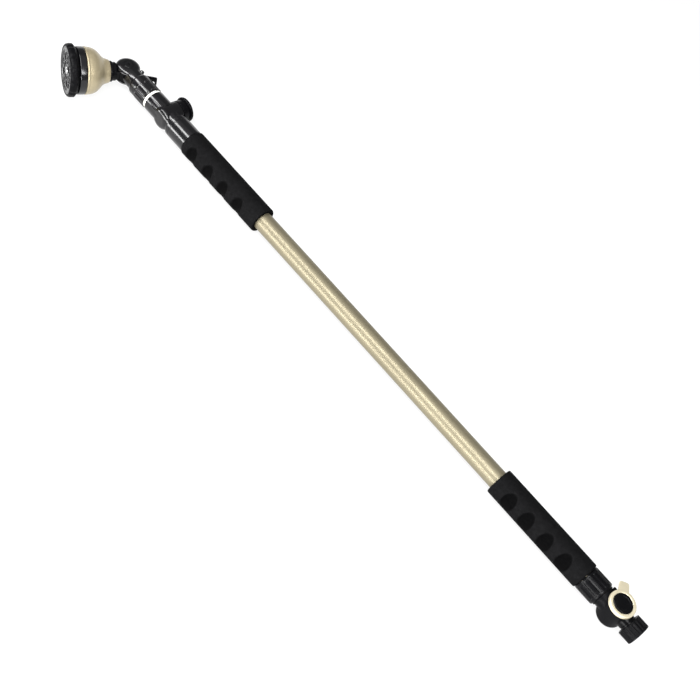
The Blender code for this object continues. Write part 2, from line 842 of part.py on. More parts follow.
def dial(head):
    """The turning dial: a bezel with finger scallops, a disc of pattern ports and the spray face."""
    turning = empty("dial_turning", head)
    inner_r = 30.6
    bezel = [
        (FACE_END, inner_r),
        (FACE_END, 32.2),
        (FACE_END - 1.6, 33.7),
        (FACE_END - 4.0, DIAL_R),
        (72.6, DIAL_R),
        (71.7, 33.6),
        (DIAL_START, 29.0),
        (DIAL_START, 27.7),
        (70.2, 27.7),
        (70.2, inner_r),
    ]
    made = turned("dial_bezel", bezel, "black_plastic", turning, steps=36)
    scallops = 12
    for i in range(scallops):
        angle = 2 * math.pi * (i + 0.5) / scallops
        away = DIAL_R + 4.2
        spot = (0, away * math.cos(angle), away * math.sin(angle))
        cut(made, turned("dial_scallop", rod(60, 90, 5.0), None, turning, at=spot, steps=10))

    disc = [
        (76.4, 2.3),
        (76.4, inner_r - GAP),
        (70.5, inner_r - GAP),
        (70.5, 27.4),
        (67.8, 27.4),
        (67.8, 26.5),
        (69.2, 26.5),
        (69.2, 21.6),
        (67.8, 21.6),
        (67.8, 2.3),
    ]
    ports = turned("pattern_disc", disc, "black_plastic", turning)
    face_outline = [
        (79.0, 2.3),
        (79.0, 6.0),
        (80.2, 6.8),
        (80.2, 27.5),
        (80.6, 28.0),
        (80.6, inner_r - GAP),
        (76.7, inner_r - GAP),
        (76.7, 2.3),
    ]
    face = turned("spray_face", face_outline, "black_plastic", turning)
    for i in range(PATTERNS):
        angle = 2 * math.pi * i / PATTERNS
        spot = (0, PORT_CIRCLE_R * math.cos(angle), PORT_CIRCLE_R * math.sin(angle))
        cut(ports, turned("pattern_port", rod(60, 80, 2.4), None, turning, at=spot, steps=TINY))
        cut(face, turned("face_port", rod(70, 90, 3.4), None, turning, at=spot, steps=TINY))
        if i % 2 == 0:
            name = f"nozzle_insert_{i // 2 + 1}"
            insert = ring(76.7, 80.5, 3.0, 1.0 + 0.3 * (i // 2))
            turned(name, insert, "gloss_plastic", turning, at=spot, steps=TINY)
    outline = [(80.7, 0), (80.7, 4.6), (79.3, 5.4), (79.3, 1.7), (57.0, 1.7), (57.0, 0)]
    turned("centre_screw", outline, "steel", head, steps=COARSE)


def set_down(wand):
    """Moves the wand so that the middle of its underside, as a box, is the origin."""
    bpy.context.view_layer.update()
    graph = bpy.context.evaluated_depsgraph_get()
    corners = []
    for thing in PARTS.objects:
        if thing.type != "MESH":
            continue
        shape = thing.evaluated_get(graph)
        mesh = shape.to_mesh()
        points = np.empty(len(mesh.vertices) * 3)
        mesh.vertices.foreach_get("co", points)
        points = points.reshape(-1, 3)
        matrix = np.array(shape.matrix_world)
        world = points @ matrix[:3, :3].T + matrix[:3, 3]
        corners += [world.min(axis=0), world.max(axis=0)]
        shape.to_mesh_clear()
    low = np.min(corners, axis=0)
    high = np.max(corners, axis=0)
    middle = (low + high) / 2
    wand.location -= Vector((middle[0], middle[1], low[2]))


def main():
    wand = empty("wand", turn=(ROLL, 0, math.pi))
    hose_coupling(wand)
    hose_tailpiece(wand)
    shut_off_valve(wand)
    union(wand)
    sliding = empty("sliding_part", wand)
    lock = empty("lock_turning", wand)
    tubes(wand, sliding)
    twist_lock(wand, lock)
    flow_valve(sliding)
    swivel(sliding)
    pivot_yoke(sliding)
    lever_frame = empty("lever_turning", sliding, (*LEVER_PIN, 0))
    release_lever(sliding, lever_frame)
    head = empty("head_turning", sliding, (PIVOT_X, 0, 0), (0, 0, HEAD_BEND))
    knuckle(head)
    bell(head)
    distributor(head)
    dial(head)
    set_down(wand)


main()
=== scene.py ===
"""The looks of the watering wand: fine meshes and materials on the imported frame, a pale floor, soft light.

Shapes are drawn in millimetres in the wand's own frames, as the design was: x runs along the tube from
the hose end to the head, +y is the finger side and +z the shut-off lever's side. A valve's frame has
z on its stem, and the head's has x out through the spray face. An outline is a list of (place along
the axis, radius), down the outer side and back up the bore.
"""

import json
import math

import bmesh
import bpy
import numpy as np
from mathutils import Matrix, Vector


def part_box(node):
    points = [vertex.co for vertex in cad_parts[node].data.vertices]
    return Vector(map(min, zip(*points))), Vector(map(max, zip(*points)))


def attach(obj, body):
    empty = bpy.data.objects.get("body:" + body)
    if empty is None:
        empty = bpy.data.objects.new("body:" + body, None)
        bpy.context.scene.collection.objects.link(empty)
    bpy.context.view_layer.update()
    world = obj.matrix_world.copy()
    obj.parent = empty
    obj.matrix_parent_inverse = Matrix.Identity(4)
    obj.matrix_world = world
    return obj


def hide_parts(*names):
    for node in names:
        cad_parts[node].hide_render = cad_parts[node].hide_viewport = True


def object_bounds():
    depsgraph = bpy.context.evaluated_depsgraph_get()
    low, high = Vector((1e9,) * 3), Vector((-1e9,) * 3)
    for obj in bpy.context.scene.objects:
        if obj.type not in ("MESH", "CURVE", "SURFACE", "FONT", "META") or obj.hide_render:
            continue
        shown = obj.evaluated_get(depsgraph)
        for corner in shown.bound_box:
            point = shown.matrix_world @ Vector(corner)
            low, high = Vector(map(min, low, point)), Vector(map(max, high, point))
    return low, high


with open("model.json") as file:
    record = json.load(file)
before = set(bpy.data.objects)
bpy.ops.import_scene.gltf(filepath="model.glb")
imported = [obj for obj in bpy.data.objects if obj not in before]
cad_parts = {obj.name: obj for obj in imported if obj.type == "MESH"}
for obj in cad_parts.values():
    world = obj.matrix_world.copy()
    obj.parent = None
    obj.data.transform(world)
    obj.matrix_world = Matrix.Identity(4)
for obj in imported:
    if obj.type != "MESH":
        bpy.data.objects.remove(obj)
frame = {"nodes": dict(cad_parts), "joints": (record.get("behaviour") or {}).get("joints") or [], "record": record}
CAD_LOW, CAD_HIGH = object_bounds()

# ---------------------------------------------------------------- frames

JOINTS = {joint["name"]: joint for joint in frame["joints"]}
NODES = frame["nodes"]
SCENE = bpy.context.scene
MM = 0.001


def joint_axis(name):
    return Vector(JOINTS[name]["axis"]).normalized()


def joint_place(name):
    return Vector(JOINTS[name]["pos_m"])


def framed(x_axis, z_axis, origin):
    """A frame in millimetres whose x and z point along these world directions."""
    y_axis = z_axis.cross(x_axis)
    turn = Matrix((x_axis, y_axis, z_axis)).transposed().to_4x4()
    return Matrix.Translation(origin) @ turn @ Matrix.Scale(MM, 4)


TO_HEAD = -joint_axis("hose_coupling_spin")
LEVER_SIDE = joint_axis("shut_off_turn")
HOSE_FACE = Vector((CAD_HIGH.x, *joint_place("hose_coupling_spin").yz))
WAND = framed(TO_HEAD, LEVER_SIDE, HOSE_FACE)
SHUT_OFF = framed(TO_HEAD, LEVER_SIDE, joint_place("shut_off_turn"))
FLOW = framed(TO_HEAD, joint_axis("flow_knob_turn"), joint_place("flow_knob_turn"))
PIVOT = framed(TO_HEAD, LEVER_SIDE, joint_place("head_pivot"))
HEAD = framed(joint_axis("dial_turn"), LEVER_SIDE, joint_place("head_pivot"))
LEVER_PIN = framed(TO_HEAD, LEVER_SIDE, joint_place("release_lever_press"))


def span(node):
    """Where a node of the tube starts and ends along the wand, in millimetres from the hose face."""
    low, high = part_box(node)
    return (HOSE_FACE.x - high.x) / MM, (HOSE_FACE.x - low.x) / MM


# ---------------------------------------------------------------- shapes

FINE = 128
SMOOTH_ANGLE = math.radians(32)


def soften(outline, soft, closed):
    """Rounds the corners of an outline with short curves of up to that size."""
    made = []
    count = len(outline)
    for i, here in enumerate(outline):
        if not closed and i in (0, count - 1):
            made.append(here)
            continue
        here = Vector(here)
        before, after = Vector(outline[i - 1]), Vector(outline[(i + 1) % count])
        back, on = before - here, after - here
        if back.angle(-on, 0) < 0.1:
            made.append(tuple(here))
            continue
        start = here + back.normalized() * min(soft, back.length * 0.45)
        end = here + on.normalized() * min(soft, on.length * 0.45)
        for t in (0, 0.25, 0.5, 0.75, 1):
            made.append(tuple(start * (1 - t) ** 2 + here * 2 * t * (1 - t) + end * t * t))
    return made


def divide(outline, longest, closed):
    """Adds points along the edges that are longer than this."""
    made = []
    count = len(outline)
    for i in range(count if closed else count - 1):
        a, b = Vector(outline[i]), Vector(outline[(i + 1) % count])
        pieces = max(1, math.ceil((b - a).length / longest))
        made += [tuple(a.lerp(b, k / pieces)) for k in range(pieces)]
    if not closed:
        made.append(outline[-1])
    return made


def new_object(name, mesh):
    made = bpy.data.objects.new(name, mesh)
    SCENE.collection.objects.link(made)
    return made


def turned(name, outline, place=WAND, along="x", soft=0.5, steps=FINE, longest=None, shape=None):
    """Spins an outline about x or z of a frame. shape(p, angle, r) gives each point its own radius."""
    closed = outline[0][1] > 0 or outline[-1][1] > 0
    points = soften(outline, soft, closed) if soft else outline
    if longest:
        points = divide(points, longest, closed)
    p, r = np.array(points, dtype=float).T
    angle = np.arange(steps) * 2 * math.pi / steps
    p, angle = np.meshgrid(p, angle, indexing="ij")
    r = np.repeat(r[:, None], steps, axis=1)
    if shape:
        r = shape(p, angle, r)
    across, up = r * np.cos(angle), r * np.sin(angle)
    order = (p, across, up) if along == "x" else (across, up, p)
    verts = np.stack(order, axis=-1).reshape(-1, 3)
    rows = len(points)
    i, j = np.meshgrid(np.arange(rows if closed else rows - 1), np.arange(steps), indexing="ij")
    i2, j2 = (i + 1) % rows, (j + 1) % steps
    faces = np.stack([i * steps + j, i2 * steps + j, i2 * steps + j2, i * steps + j2], axis=-1)
    mesh = bpy.data.meshes.new(name)
    mesh.from_pydata(verts.tolist(), [], faces.reshape(-1, 4).tolist())
    return settle(new_object(name, mesh), place)


def settle(thing, place):
    """Welds, faces outward and moves a mesh drawn in millimetres to its place in the frame."""
    form = bmesh.new()
    form.from_mesh(thing.data)
    bmesh.ops.remove_doubles(form, verts=form.verts, dist=1e-3)
    bmesh.ops.dissolve_degenerate(form, edges=form.edges, dist=1e-4)
    bmesh.ops.transform(form, matrix=place, verts=form.verts)
    bmesh.ops.recalc_face_normals(form, faces=form.faces)
    form.to_mesh(thing.data)
    form.free()
    return thing


def flat(name, outline, low, high, place):
    """Extrudes an outline of (x, y) points from low to high along z."""
    mesh = bpy.data.meshes.new(name)
    form = bmesh.new()
    face = form.faces.new([form.verts.new((x, y, low)) for x, y in outline])
    top = bmesh.ops.extrude_face_region(form, geom=[face])
    moved = [v for v in top["geom"] if isinstance(v, bmesh.types.BMVert)]
    bmesh.ops.translate(form, vec=(0, 0, high - low), verts=moved)
    form.to_mesh(mesh)
    form.free()
    return settle(new_object(name, mesh), place)


def evaluated(thing):
    """Applies an object's modifiers."""
    bpy.context.view_layer.update()
    graph = bpy.context.evaluated_depsgraph_get()
    mesh = bpy.data.meshes.new_from_object(thing.evaluated_get(graph))
    old = thing.data
    thing.modifiers.clear()
    thing.data = mesh
    bpy.data.meshes.remove(old)
    return thing


def combine(thing, operation, others):
    for other in others:
        step = thing.modifiers.new("combine", "BOOLEAN")
        step.operation = operation
        step.solver = "EXACT"
        step.object = other
    evaluated(thing)
    for other in others:
        bpy.data.objects.remove(other, do_unlink=True)
    return thing


def join(thing, *others):
    return combine(thing, "UNION", others)


def cut(thing, *others):
    return combine(thing, "DIFFERENCE", others)


def bevel(thing, width, segments=3):
    """Rounds the sharp edges of a piece, in millimetres."""
    step = thing.modifiers.new("round", "BEVEL")
    step.width = width * MM
    step.segments = segments
    step.limit_method = "ANGLE"
    step.angle_limit = SMOOTH_ANGLE
    step.use_clamp_overlap = True
    return evaluated(thing)


def merged(name, things):
    """One object from several meshes."""
    form = bmesh.new()
    for thing in things:
        form.from_mesh(thing.data)
        bpy.data.objects.remove(thing, do_unlink=True)
    mesh = bpy.data.meshes.new(name)
    form.to_mesh(mesh)
    form.free()
    return new_object(name, mesh)


def piece(thing, body, look, slot, *nodes):
    """Gives a finished mesh its material and its body, and hides the nodes that it stands for."""
    thing.data.materials.clear()
    thing.data.materials.append(look)
    thing.data.shade_smooth()
    thing.data.set_sharp_from_angle(angle=SMOOTH_ANGLE)
    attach(thing, body)
    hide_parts(*nodes)
    return thing


def rod(low, high, radius):
    return [(high, 0), (high, radius), (low, radius), (low, 0)]


def ring(low, high, outer, bore):
    return [(high, outer), (low, outer), (low, bore), (high, bore)]


def ribs(count, depth, outer, low, high, fade=1.5):
    """Grip ribs around a nut's outer side, which run out before its ends."""

    def shape(p, angle, r):
        wave = np.clip(0.5 + 1.1 * np.cos(count * angle), 0, 1)
        ends = np.clip(np.minimum(p - low, high - p) / fade, 0, 1)
        return r - depth * (1 - wave) * ends * (r > outer - 2)

    return shape


# ---------------------------------------------------------------- materials


class Look:
    """A node-based material being put together."""

    def __init__(self, name, colour, roughness, metallic=0.0, coat=0.0, specular=0.35):
        self.material = bpy.data.materials.new(name)
        self.material.use_nodes = True
        self.nodes = self.material.node_tree.nodes
        self.links = self.material.node_tree.links
        self.shader = self.nodes["Principled BSDF"]
        self.colour = colour
        self.roughness = roughness
        self.shader.inputs["Base Color"].default_value = (*colour, 1)
        self.shader.inputs["Roughness"].default_value = roughness
        self.shader.inputs["Metallic"].default_value = metallic
        self.shader.inputs["Coat Weight"].default_value = coat
        self.shader.inputs["Coat Roughness"].default_value = 0.08
        self.shader.inputs["Specular IOR Level"].default_value = specular
        self.place = self.nodes.new("ShaderNodeTexCoord").outputs["Object"]

    def node(self, kind, **values):
        made = self.nodes.new(kind)
        for key, value in values.items():
            made.inputs[key].default_value = value
        return made

    def noise(self, scale, detail=3.0, stretch=(1, 1, 1)):
        """Noise whose grain is stretched along the wand by the first number."""
        mapping = self.node("ShaderNodeMapping", Scale=stretch)
        self.links.new(self.place, mapping.inputs["Vector"])
        made = self.node("ShaderNodeTexNoise", Scale=scale, Detail=detail)
        self.links.new(mapping.outputs["Vector"], made.inputs["Vector"])
        return made.outputs["Fac"]

    def ranged(self, value, low, high):
        made = self.node("ShaderNodeMapRange")
        made.inputs["From Min"].default_value = 0.3
        made.inputs["From Max"].default_value = 0.7
        made.inputs["To Min"].default_value = low
        made.inputs["To Max"].default_value = high
        self.links.new(value, made.inputs["Value"])
        return made.outputs["Result"]

    def vary_colour(self, value, other, amount=1.0):
        mix = self.nodes.new("ShaderNodeMix")
        mix.data_type = "RGBA"
        mix.inputs["A"].default_value = (*self.colour, 1)
        mix.inputs["B"].default_value = (*other, 1)
        self.links.new(self.ranged(value, 0.0, amount), mix.inputs["Factor"])
        self.links.new(mix.outputs["Result"], self.shader.inputs["Base Color"])
        return self

    def vary_roughness(self, value, spread):
        result = self.ranged(value, self.roughness - spread, self.roughness + spread)
        self.links.new(result, self.shader.inputs["Roughness"])
        return self

    def bump(self, value, height, strength=1.0):
        made = self.node("ShaderNodeBump", Strength=strength, Distance=height * MM)
        self.links.new(value, made.inputs["Height"])
        self.links.new(made.outputs["Normal"], self.shader.inputs["Normal"])
        return self


def anodised(name, colour, other, roughness):
    """Drawn and anodised aluminium: fine lines along the tube and faint clouds of tone."""
    look = Look(name, colour, roughness, metallic=0.5)
    lines = look.noise(900, 2.0, stretch=(0.03, 1, 1))
    look.vary_colour(look.noise(60, 4.0, stretch=(0.15, 1, 1)), other, 0.8)
    look.vary_roughness(lines, 0.06)
    return look.bump(lines, 0.01, 0.25).material


def metallic_paint(name, colour, other, roughness):
    """Champagne paint on a cast shell: flakes, a little orange peel and a soft clear coat."""
    look = Look(name, colour, roughness, metallic=0.55, coat=0.35)
    look.shader.inputs["Coat Roughness"].default_value = 0.15
    look.vary_colour(look.noise(2600, 1.0), other, 0.6)
    look.vary_roughness(look.noise(220, 3.0), 0.05)
    return look.bump(look.noise(420, 2.0), 0.02, 0.35).material


def moulded(name, colour, roughness, grain=700, height=0.02, specular=0.25, spread=0.06):
    """Injection-moulded plastic: a fine spark grain, uneven sheen and a slightly paler bloom."""
    look = Look(name, colour, roughness, specular=specular)
    paler = tuple(c * 1.4 + 0.0005 for c in colour)
    look.vary_colour(look.noise(90, 4.0), paler, 0.7)
    look.vary_roughness(look.noise(160, 3.0), spread)
    return look.bump(look.noise(grain, 3.0), height, 0.5).material


def foam(name, colour, scoop_shade_colour, skin_r, depth):
    """Closed-cell foam: small cells all over, matte, with painted shade in the finger scoops: the colour darkens
    where the surface lies below the grip's outer skin.
    """
    look = Look(name, colour, 0.85, specular=0.035)
    cells = look.node("ShaderNodeTexVoronoi", Scale=1100)
    look.links.new(look.place, cells.inputs["Vector"])
    look.vary_colour(look.noise(240, 5.0), tuple(c * 1.8 for c in colour), 0.8)

    # Painted shade: below the skin radius, in the finger scoops, the base colour is mixed towards the dark scoop
    # colour.
    axis = WAND.translation
    from_axis = look.node("ShaderNodeMapping", Location=(0, -axis.y, -axis.z), Scale=(0, 1, 1))
    look.links.new(look.place, from_axis.inputs["Vector"])
    radius = look.nodes.new("ShaderNodeVectorMath")
    radius.operation = "LENGTH"
    look.links.new(from_axis.outputs["Vector"], radius.inputs[0])
    scoop_shade_mask = look.nodes.new("ShaderNodeMapRange")
    scoop_shade_mask.inputs["From Min"].default_value = (skin_r - depth) * MM
    scoop_shade_mask.inputs["From Max"].default_value = (skin_r - 0.2) * MM
    look.links.new(radius.outputs["Value"], scoop_shade_mask.inputs["Value"])
    mix = look.nodes.new("ShaderNodeMix")
    mix.data_type = "RGBA"
    mix.inputs["A"].default_value = (*scoop_shade_colour, 1)
    look.links.new(scoop_shade_mask.outputs["Result"], mix.inputs["Factor"])
    look.links.new(look.shader.inputs["Base Color"].links[0].from_socket, mix.inputs["B"])
    look.links.new(mix.outputs["Result"], look.shader.inputs["Base Color"])
    look.vary_roughness(look.noise(300, 3.0), 0.08)
    return look.bump(cells.outputs["Distance"], 0.12, 0.55).material


def machined(name, colour, roughness):
    """Turned metal: fine rings of tool marks."""
    look = Look(name, colour, roughness, metallic=1.0)
    marks = look.noise(1500, 2.0, stretch=(1, 0.2, 0.2))
    look.vary_colour(look.noise(200, 3.0), tuple(c * 0.8 for c in colour), 0.7)
    look.vary_roughness(marks, 0.06)
    return look.bump(marks, 0.01, 0.3).material


CHAMPAGNE = anodised("champagne_anodised", (0.18, 0.159, 0.106), (0.156, 0.137, 0.091), 0.42)
GOLD = metallic_paint("champagne_paint", (0.32, 0.27, 0.17), (0.38, 0.33, 0.22), 0.42)
PALE_GOLD = metallic_paint("pale_champagne_paint", (0.63, 0.57, 0.405), (0.69, 0.62, 0.465), 0.42)
BLACK = moulded("black_plastic", (0.002, 0.002, 0.0024), 0.24, specular=0.09)
BLACK_MATTE = moulded("black_plastic_matte", (0.0022, 0.0022, 0.0026), 0.42, height=0.03, specular=0.05)
GLOSS = moulded(
    "gloss_black_plastic", (0.002, 0.002, 0.0025), 0.18, height=0.0005, specular=0.5, spread=0.02
)
# The third colour is painted shade for the finger scoops.
FOAM = foam("grip_foam", (0.0028, 0.0028, 0.003), (0.0004, 0.0004, 0.0005), 18.0, 1.6)
WHITE = moulded("white_nylon", (0.78, 0.77, 0.70), 0.45, height=0.01, specular=0.5)
ALUMINIUM = anodised("aluminium", (0.72, 0.72, 0.72), (0.62, 0.62, 0.62), 0.28)
BRASS = machined("brass", (0.66, 0.46, 0.18), 0.28)
STEEL = machined("steel", (0.58, 0.58, 0.58), 0.24)
RUBBER = moulded("rubber", (0.012, 0.012, 0.012), 0.72, height=0.02)

SLOT_LOOKS = {
    "champagne_aluminium": CHAMPAGNE,
    "gold_paint": GOLD,
    "foam": FOAM,
    "black_plastic": BLACK,
    "gloss_black_plastic": GLOSS,
    "white_nylon": WHITE,
    "aluminium": ALUMINIUM,
    "brass": BRASS,
    "steel": STEEL,
    "rubber": RUBBER,
}


def paint_nodes():
    """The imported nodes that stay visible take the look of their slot."""
    for part in frame["record"]["subparts"]:
        data = NODES[part["node"]].data
        data.materials.clear()
        data.materials.append(SLOT_LOOKS[part["material_slot"]])


# ---------------------------------------------------------------- camera, floor and light

FOCAL_LENGTH = 55.54
SENSOR = 36.0
CAMERA_PLACE = (147.0, 779.9, 1015.2)
CAMERA_RIGHT = (-0.6484, -0.6953, 0.3104)
CAMERA_UP = (0.7218, -0.4318, 0.5409)

FLOOR_SIZE = 40
FLOOR_COLOUR = (0.12, 0.12, 0.12)
FLOOR_GLOW = 0.84
SKY_STRENGTH = 0.25
OVERHEAD_ENERGY = 0.4
OVERHEAD_ANGLE = math.radians(80)
STRIP_AIM = (650.0, 0.0, 0.0)
STRIP_DISTANCE = 1.1
STRIP_LENGTH = 3.2
STRIP_WIDTH = 0.25
STRIP_POWER = 50
KEY_TURN = 12.0
FILL_TURN = -48.0


def world_direction(vector):
    return (WAND.to_3x3() @ Vector(vector)).normalized()


def camera():
    data = bpy.data.cameras.new("camera")
    data.lens = FOCAL_LENGTH
    data.sensor_width = SENSOR
    made = new_object("camera", data)
    right, up = world_direction(CAMERA_RIGHT), world_direction(CAMERA_UP)
    turn = Matrix((right, up, right.cross(up))).transposed().to_4x4()
    made.matrix_world = Matrix.Translation(WAND @ Vector(CAMERA_PLACE)) @ turn
    data.clip_start = 0.01
    data.clip_end = 50
    SCENE.camera = made
    return made


def floor():
    """A pale floor that glows faintly, as a light table does, so that the shadows stay soft."""
    bpy.ops.mesh.primitive_grid_add(x_subdivisions=8, y_subdivisions=8, size=FLOOR_SIZE)
    made = bpy.context.active_object
    made.name = "floor"
    look = Look("floor", FLOOR_COLOUR, 0.9, specular=0.1)
    look.vary_roughness(look.noise(4, 2.0), 0.03)
    look.shader.inputs["Emission Color"].default_value = (1, 1, 1, 1)
    look.shader.inputs["Emission Strength"].default_value = FLOOR_GLOW
    made.data.materials.append(look.material)


def strip_light(name, turn_deg):
    """A long light along the wand, turned about it from the camera's side: + is towards the finger side."""
    middle = WAND @ Vector(STRIP_AIM)
    to_camera = WAND @ Vector(CAMERA_PLACE) - middle
    to_camera -= to_camera.project(TO_HEAD)
    out = Matrix.Rotation(math.radians(turn_deg), 3, TO_HEAD) @ to_camera.normalized()
    data = bpy.data.lights.new(name, "AREA")
    data.shape = "RECTANGLE"
    data.size = STRIP_LENGTH
    data.size_y = STRIP_WIDTH
    data.energy = STRIP_POWER
    made = new_object(name, data)
    side = out.cross(TO_HEAD)
    turn = Matrix((TO_HEAD, side, out)).transposed().to_4x4()
    made.matrix_world = Matrix.Translation(middle + out * STRIP_DISTANCE) @ turn


def light():
    world = bpy.data.worlds.new("studio")
    SCENE.world = world
    world.use_nodes = True
    sky = world.node_tree.nodes["Background"]
    sky.inputs["Color"].default_value = (1.0, 1.0, 1.0, 1)
    sky.inputs["Strength"].default_value = SKY_STRENGTH
    overhead = bpy.data.lights.new("overhead", "SUN")
    overhead.energy = OVERHEAD_ENERGY
    overhead.angle = OVERHEAD_ANGLE
    new_object("overhead", overhead)
    strip_light("key_strip", KEY_TURN)
    strip_light("fill_strip", FILL_TURN)
    SCENE.view_settings.view_transform = "Standard"
    SCENE.view_settings.look = "None"


# ---------------------------------------------------------------- hose end

COUPLING_R = 15.0


def hose_coupling():
    low, high = span("hose_coupling")
    outline = [(high, COUPLING_R), (low, COUPLING_R), (low, 13.2), (12.4, 13.2), (12.4, 10.9), (high, 10.9)]
    grip = ribs(20, 0.7, COUPLING_R, low + 1.0, high - 0.6)

    def shape(p, angle, r):
        turn = (p / 2.2 + angle / (2 * math.pi)) % 1.0
        crest = 0.55 * np.clip(1.4 - np.abs(turn - 0.5) * 4, 0, 1)
        thread = crest * (np.abs(r - 13.2) < 0.01) * np.clip(p / 1.2, 0, 1) * (p < 6.4)
        return grip(p, angle, r) - thread

    made = turned("hose_coupling_fine", outline, soft=0.5, steps=200, longest=0.3, shape=shape)
    piece(made, "hose_coupling", BLACK_MATTE, "black_plastic", "hose_coupling")
    washer = turned("hose_washer_fine", ring(*span("hose_washer"), 12.6, 6.5), soft=0.9)
    piece(washer, "hose_coupling", RUBBER, "rubber", "hose_washer")


def hose_tailpiece():
    outline = [(29.1, 8.4), (27.0, 8.4), (27.0, 10.5), (18.6, 10.5), (18.2, 10.1), (17.6, 10.1)]
    outline += [(17.2, 10.5), (12.1, 10.5), (12.1, 12.8), (9.6, 12.8), (9.6, 5.5), (29.1, 5.5)]
    made = turned("hose_tailpiece_fine", outline, soft=0.35)
    piece(made, "wand_body", BLACK, "black_plastic", "hose_tailpiece")


CHAMBER_END = 7.6
CHAMBER_R = 8.7
VALVE_WATER_R = 5.5
GLAND_R = 6.3
STEM_HOLE_R = 3.3


def valve_cutters(place, top, chamber_start):
    """The hollows that both ball valves share: the ball's chamber, the waterway and the stem's hole."""
    stem_hole = [(top + 2, 0), (top + 2, GLAND_R), (top - 2.7, GLAND_R), (top - 2.7, STEM_HOLE_R)]
    stem_hole += [(4, STEM_HOLE_R), (4, 0)]
    return [
        turned("chamber", rod(chamber_start, CHAMBER_END, CHAMBER_R), place, soft=0, steps=48),
        turned("waterway", rod(-22, 52, VALVE_WATER_R), place, soft=0, steps=48),
        turned("stem_hole", stem_hole, place, along="z", soft=0, steps=48),
    ]


def shut_off_valve():
    top = 13.0
    arc = [math.radians(a) for a in range(0, 91, 15)]
    dome = [(-12.6 - 7.2 * math.sin(a), 8.6 + 8.0 * math.cos(a)) for a in arc]
    barrel = [(top, 0), (top, 15.3), (top - 0.9, 16.0), *dome, (-19.8, 0)]
    body = turned("shut_off_body_fine", barrel, SHUT_OFF, along="z", soft=0.5, steps=96)
    spigot = [(28, 0), (28, 12.2), (21.1, 12.2), (21.1, 14.5), (19.3, 14.5), (19.3, 13.4), (6, 13.4)]
    spigot.append((6, 0))
    lug = flat("lug", [(13, -11), (18.6, -11), (18.6, -7), (13, -7)], 7.5, 13.2, SHUT_OFF)
    join(body, turned("spigot", spigot, SHUT_OFF, soft=0.35, steps=96), lug)
    cut(body, turned("socket", rod(-25, -9.7, 10.8), SHUT_OFF, soft=0, steps=96))
    cut(body, *valve_cutters(SHUT_OFF, top, -10.0))
    bevel(body, 0.35, 2)
    piece(body, "wand_body", BLACK_MATTE, "black_plastic", "shut_off_valve_body")


LEVER_TURN = Matrix.Rotation(math.radians(-57.0), 4, "Z")


def shut_off_lever():
    place = SHUT_OFF @ LEVER_TURN
    base, floor_z, rim = 13.9, 15.0, 18.6
    outer, cap_r = 16.8, 12.1
    disc = [(rim, cap_r + 0.3), (rim, outer - 0.4), (base, outer), (base, 3.3), (floor_z, 3.3)]
    disc.append((floor_z, cap_r + 0.3))
    made = turned("lever_ring_fine", disc, place, along="z", soft=0.9)
    half, tip, corner = 6.2, 27.7, 3.0
    arc = [math.radians(a) for a in range(0, 91, 15)]
    side = [(15.0, -half - 0.6)]
    side += [(tip - corner + corner * math.sin(a), -half + corner - corner * math.cos(a)) for a in arc]
    tab = side + [(x, -y) for x, y in reversed(side)]
    join(made, flat("tab", tab, 15.3, 16.8, place))
    bevel(made, 0.45, 3)
    piece(made, "shut_off_lever", PALE_GOLD, "gold_paint", "lever_ring")

    cap = [(rim + 0.3, 0), (rim + 0.3, 8.2), (rim + 0.7, 8.8), (rim + 0.7, cap_r - 0.9), (rim - 0.1, cap_r)]
    cap += [(floor_z + 0.3, cap_r), (floor_z + 0.3, 4.7), (rim - 0.3, 4.7), (rim - 0.3, 0)]
    made = turned("lever_cap_fine", cap, place, along="z", soft=0.4)
    piece(made, "shut_off_lever", BLACK, "black_plastic", "lever_cap")


UNION_R = 16.75


def union_nut():
    low, high = span("union_nut")
    outline = [(high, UNION_R - 0.6), (high - 1.2, UNION_R), (low + 1.6, UNION_R), (low, UNION_R - 1.0)]
    outline += [(low, 12.5), (70.8, 12.5), (70.8, 10.8), (74.2, 10.8), (74.2, 13.0), (high, 13.0)]
    shape = ribs(16, 0.9, UNION_R, low + 2.2, high - 1.6, 2.5)
    made = turned("union_nut_fine", outline, soft=0.6, steps=192, longest=0.8, shape=shape)
    piece(made, "wand_body", BLACK, "black_plastic", "union_nut")


# ---------------------------------------------------------------- tubes and grips

TUBE_R = 12.7
INNER_TUBE_R = 11.0
SCOOP_HALF_LENGTH = 9.4
SCOOP_HALF_ANGLE = math.radians(52)
SCOOP_DEPTH = 3.4
LOWER_SCOOPS = (113.0, 143.0, 174.0, 203.0)
UPPER_SCOOPS = (702.0, 732.0, 762.0, 795.0)


def grip(node, radius, scoops, turn_deg):
    """A foam sleeve with four finger scoops around its finger side."""
    low, high = span(node)

    def shape(p, angle, r):
        away = (angle - math.radians(turn_deg) + math.pi) % (2 * math.pi) - math.pi
        cut_away = np.zeros_like(r)
        for middle in scoops:
            inside = 1 - ((p - middle) / SCOOP_HALF_LENGTH) ** 2 - (away / SCOOP_HALF_ANGLE) ** 2
            cut_away = np.maximum(cut_away, SCOOP_DEPTH * np.clip(inside, 0, 1) ** 0.6)
        return r - cut_away * (r > TUBE_R + 2)

    outline = [(high, radius), (low, radius), (low, TUBE_R + 0.3), (high, TUBE_R + 0.3)]
    made = turned(node + "_fine", outline, soft=2.2, steps=200, longest=0.7, shape=shape)
    piece(made, "wand_body", FOAM, "foam", node)


